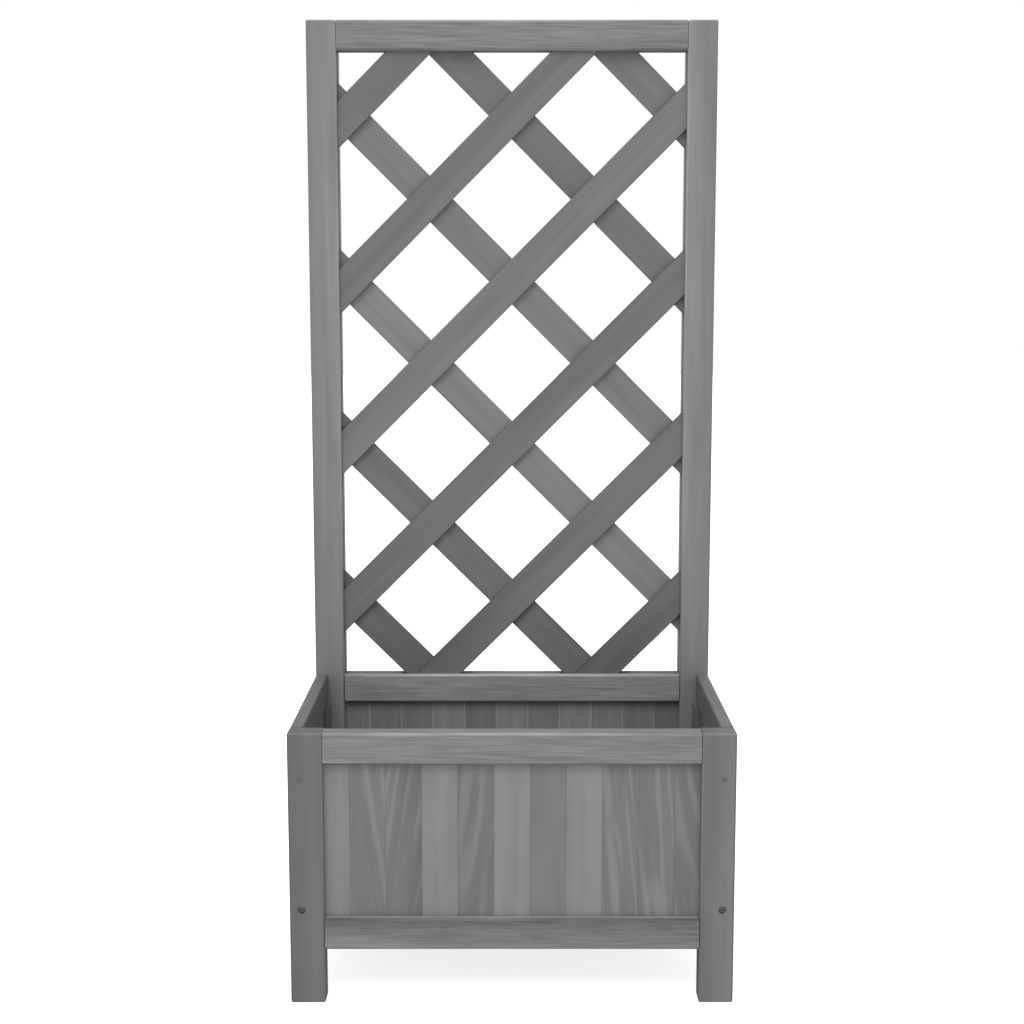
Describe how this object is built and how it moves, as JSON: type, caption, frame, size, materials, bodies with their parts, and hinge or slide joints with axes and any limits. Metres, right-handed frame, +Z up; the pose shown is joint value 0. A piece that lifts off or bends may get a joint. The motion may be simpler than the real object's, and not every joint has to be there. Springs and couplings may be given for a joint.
{
  "type": "planter with trellis",
  "caption": "Floor-standing wooden planter box on four feet, with boarded sides and a tall diagonal lattice trellis rising from its back posts.",
  "frame": {"origin": "on the ground, under the middle of the whole piece", "axes": "+X to the right seen from the front, +Y from the planter's front towards the trellis at its back, +Z up"},
  "size_m": [0.5, 0.3, 1.125],
  "materials": {
    "post": "matte",
    "rail": "matte",
    "board": "matte",
    "lath": "matte",
    "side_panel": "matte",
    "floor": "matte",
    "screw": "satin"
  },
  "bodies": {
    "root": {"back_board_01": "board", "back_board_02": "board", "back_board_03": "board", "back_board_04": "board", "back_board_05": "board", "back_board_06": "board", "back_board_07": "board", "back_board_08": "board", "back_board_09": "board", "back_board_10": "board", "back_board_11": "board", "back_bottom_rail": "rail", "back_post_left": "post", "back_post_right": "post", "back_screw_left_lower": "screw", "back_screw_left_upper": "screw", "back_screw_right_lower": "screw", "back_screw_right_upper": "screw", "back_top_rail": "rail", "falling_lath_1": "lath", "falling_lath_2": "lath", "falling_lath_3": "lath", "falling_lath_4": "lath", "falling_lath_5": "lath", "falling_lath_6": "lath", "floor_bearer_back": "floor", "floor_bearer_front": "floor", "floor_board": "floor", "front_board_01": "board", "front_board_02": "board", "front_board_03": "board", "front_board_04": "board", "front_board_05": "board", "front_board_06": "board", "front_board_07": "board", "front_board_08": "board", "front_board_09": "board", "front_board_10": "board", "front_board_11": "board", "front_bottom_rail": "rail", "front_leg_left": "post", "front_leg_right": "post", "front_screw_left_lower": "screw", "front_screw_left_upper": "screw", "front_screw_right_lower": "screw", "front_screw_right_upper": "screw", "front_top_rail": "rail", "rising_lath_1": "lath", "rising_lath_2": "lath", "rising_lath_3": "lath", "rising_lath_4": "lath", "rising_lath_5": "lath", "rising_lath_6": "lath", "side_bottom_rail_left": "rail", "side_bottom_rail_right": "rail", "side_panel_left": "side_panel", "side_panel_right": "side_panel", "side_top_rail_left": "rail", "side_top_rail_right": "rail", "trellis_top_rail": "rail"}
  },
  "joints": []
}
